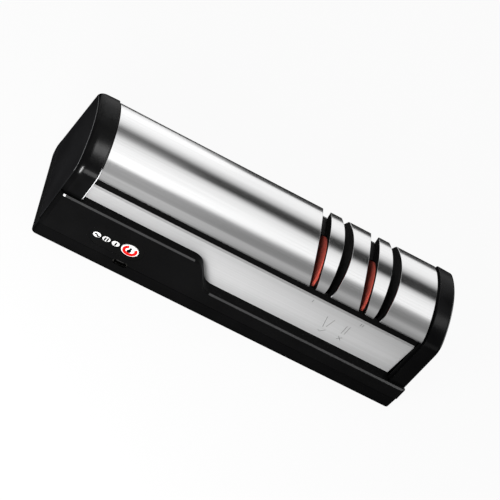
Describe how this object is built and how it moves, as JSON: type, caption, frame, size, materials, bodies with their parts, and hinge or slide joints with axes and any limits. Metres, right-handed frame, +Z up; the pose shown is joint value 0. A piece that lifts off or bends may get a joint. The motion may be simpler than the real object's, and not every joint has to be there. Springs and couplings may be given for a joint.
{
  "type": "electric knife sharpener",
  "caption": "Long cordless electric knife sharpener with a domed brushed steel top, paired leaning blade slots over grinding discs, black end caps, a stepped front cover and a power button.",
  "frame": {"origin": "on the table under the middle of the case", "axes": "+X along the case from the controls to the slots, -Y is the front, +Z is up"},
  "size_m": [0.24, 0.068, 0.0662],
  "materials": {
    "case_black": "satin moulded black plastic",
    "cap_black": "satin moulded black plastic",
    "inner_black": "dull black plastic",
    "brushed_steel": "brushed along the length",
    "plate_steel": "finely brushed along the length",
    "ruby_grit": "rough sintered grit",
    "hub_alloy": "turned",
    "shaft_steel": "ground",
    "bearing_steel": "polished",
    "coupling_brass": "turned",
    "can_steel": "plated sheet steel",
    "winding": "wound core",
    "bell_plastic": "dull",
    "bracket_steel": "zinc plated",
    "screw_steel": "blackened",
    "cell_sleeve": "shrink sleeve",
    "cradle_plastic": "dull",
    "nickel": "nickel strip",
    "board_green": "solder mask",
    "switch_black": "gloss",
    "led_white": "gloss",
    "lens_white": "gloss",
    "panel_gloss": "gloss",
    "button_white": "gloss",
    "mark_red": "inlaid",
    "mark_black": "inlaid",
    "port_steel": "deep drawn",
    "foot_rubber": "dull",
    "magnet": "ferrite"
  },
  "bodies": {
    "housing": {"base_pan": "case_black", "front_cover": "case_black", "back_cover": "case_black", "left_end_cap": "cap_black", "right_end_cap": "cap_black", "steel_dome": "brushed_steel", "front_plate": "plate_steel", "groove_strip": "inner_black", "inner_frame": "inner_black", "plate_frame": "inner_black", "fine_guide": "inner_black", "coarse_guide": "inner_black", "bay_walls": "inner_black", "swarf_hatch": "case_black", "swarf_magnet": "magnet", "spindle_bearings": "bearing_steel", "motor_can": "can_steel", "motor_end_bell": "bell_plastic", "motor_bracket": "bracket_steel", "motor_screws": "screw_steel", "battery_cells": "cell_sleeve", "battery_cradle": "cradle_plastic", "cell_tabs": "nickel", "control_board": "board_green", "board_screws": "screw_steel", "tact_switch": "switch_black", "indicator_leds": "led_white", "indicator_lenses": "lens_white", "control_panel": "panel_gloss", "charge_board": "board_green", "usb_socket": "port_steel", "usb_tongue": "switch_black", "rubber_feet": "foot_rubber", "case_screws": "screw_steel"},
    "rotor": {"spindle": "shaft_steel", "spindle_clips": "screw_steel", "wheel_hubs": "hub_alloy", "fine_wheels": "ruby_grit", "coarse_wheels": "ruby_grit", "shaft_coupling": "coupling_brass", "motor_armature": "winding"},
    "button": {"power_button": "button_white", "button_ring": "mark_red", "button_bar": "mark_black", "tact_plunger": "switch_black"}
  },
  "joints": [
    {"name": "spindle_spin", "type": "hinge", "parent": "housing", "child": "rotor", "pos_m": [0.0559, 0.0004, 0.03944], "axis": [1, 0, 0], "continuous": true},
    {"name": "button_press", "type": "slide", "parent": "housing", "child": "button", "axis": [0, 0.9945, -0.1045], "range_m": [0, 0.0006], "stiffness_N_per_m": 400, "springref_m": -0.003}
  ]
}
